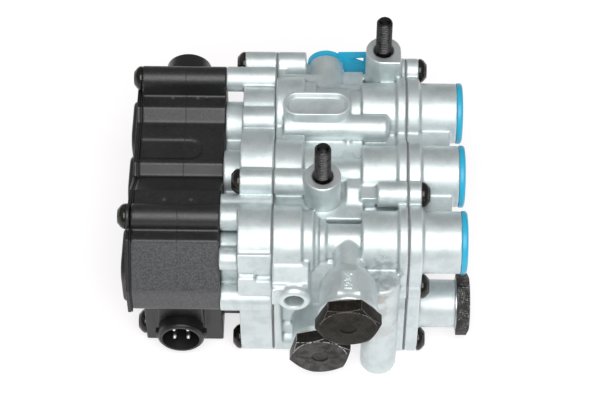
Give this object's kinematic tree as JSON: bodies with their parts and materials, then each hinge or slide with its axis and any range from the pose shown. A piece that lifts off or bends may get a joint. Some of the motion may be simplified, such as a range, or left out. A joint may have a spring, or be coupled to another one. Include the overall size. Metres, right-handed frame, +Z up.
{
  "type": "air suspension valve",
  "caption": "Electrically piloted air suspension valve block with spool sections side by side, a solenoid cover, barrel ports and mounting bolts.",
  "frame": {"origin": "centre of the overall bounding box in X and Y, at the bottom in Z", "axes": "+X along the spool axes from the solenoid cover to the port barrels, +Y to the rear port, +Z up out of the mounting bosses"},
  "size_m": [0.1704, 0.168, 0.1155],
  "materials": {
    "casting": "shot-blasted die casting",
    "cover_plastic": "fine texture",
    "lid_plastic": "fine texture",
    "connector_plastic": "smooth",
    "coil_plastic": "smooth",
    "contacts": "tinned",
    "rubber": "matt",
    "gasket": "matt",
    "black_screws": "black, glossy",
    "black_bolts": "black, oiled",
    "phosphated_steel": "phosphated, worn edges",
    "washers": "plain",
    "blue_plastic": "semi-gloss",
    "steel": "turned",
    "spring_steel": "drawn wire",
    "brass": "turned",
    "spool_metal": "turned"
  },
  "bodies": {
    "housing": {"armature_spring_front": "spring_steel", "armature_spring_middle": "spring_steel", "armature_spring_rear": "spring_steel", "body_gasket": "gasket", "coil_front": "coil_plastic", "coil_middle": "coil_plastic", "coil_rear": "coil_plastic", "core_tube_front": "steel", "core_tube_middle": "steel", "core_tube_rear": "steel", "cover_lid": "lid_plastic", "cover_screws": "black_screws", "end_cover": "casting", "end_cover_screws": "black_screws", "end_gasket": "gasket", "front_connector": "connector_plastic", "front_contacts": "contacts", "lid_seal": "rubber", "lower_plug": "phosphated_steel", "lower_plug_washer": "washers", "middle_mounting_bolt": "black_bolts", "pilot_plate": "casting", "pilot_seat_front": "brass", "pilot_seat_middle": "brass", "pilot_seat_rear": "brass", "plate_screws": "black_screws", "port_cap_front": "blue_plastic", "port_cap_middle": "blue_plastic", "port_cap_rear": "blue_plastic", "rear_connector": "connector_plastic", "rear_contacts": "contacts", "rear_mounting_bolt": "black_bolts", "rear_port_cap": "blue_plastic", "return_spring_front": "spring_steel", "return_spring_middle": "spring_steel", "return_spring_rear": "spring_steel", "side_plug": "phosphated_steel", "side_plug_washer": "washers", "solenoid_cover": "cover_plastic", "upper_plug": "phosphated_steel", "upper_plug_washer": "washers", "valve_body": "casting"},
    "spool_rear_body": {"spool_rear": "spool_metal", "piston_seal_rear": "rubber", "stem_seals_rear": "rubber", "poppet_rear": "rubber"},
    "armature_rear_body": {"armature_rear": "steel"},
    "spool_middle_body": {"spool_middle": "spool_metal", "piston_seal_middle": "rubber", "stem_seals_middle": "rubber", "poppet_middle": "rubber"},
    "armature_middle_body": {"armature_middle": "steel"},
    "spool_front_body": {"spool_front": "spool_metal", "piston_seal_front": "rubber", "stem_seals_front": "rubber", "poppet_front": "rubber"},
    "armature_front_body": {"armature_front": "steel"}
  },
  "joints": [
    {"name": "spool_rear_slide", "type": "slide", "parent": "housing", "child": "spool_rear_body", "axis": [1, 0, 0], "range_m": [0, 0.003], "stiffness_N_per_m": 1500, "springref_m": -0.004, "deforming": ["return_spring_rear"]},
    {"name": "armature_rear_slide", "type": "slide", "parent": "housing", "child": "armature_rear_body", "axis": [-1, 0, 0], "range_m": [0, 0.0008], "stiffness_N_per_m": 800, "springref_m": -0.003, "deforming": ["armature_spring_rear"]},
    {"name": "spool_middle_slide", "type": "slide", "parent": "housing", "child": "spool_middle_body", "axis": [1, 0, 0], "range_m": [0, 0.003], "stiffness_N_per_m": 1500, "springref_m": -0.004, "deforming": ["return_spring_middle"]},
    {"name": "armature_middle_slide", "type": "slide", "parent": "housing", "child": "armature_middle_body", "axis": [-1, 0, 0], "range_m": [0, 0.0008], "stiffness_N_per_m": 800, "springref_m": -0.003, "deforming": ["armature_spring_middle"]},
    {"name": "spool_front_slide", "type": "slide", "parent": "housing", "child": "spool_front_body", "axis": [1, 0, 0], "range_m": [0, 0.003], "stiffness_N_per_m": 1500, "springref_m": -0.004, "deforming": ["return_spring_front"]},
    {"name": "armature_front_slide", "type": "slide", "parent": "housing", "child": "armature_front_body", "axis": [-1, 0, 0], "range_m": [0, 0.0008], "stiffness_N_per_m": 800, "springref_m": -0.003, "deforming": ["armature_spring_front"]}
  ]
}
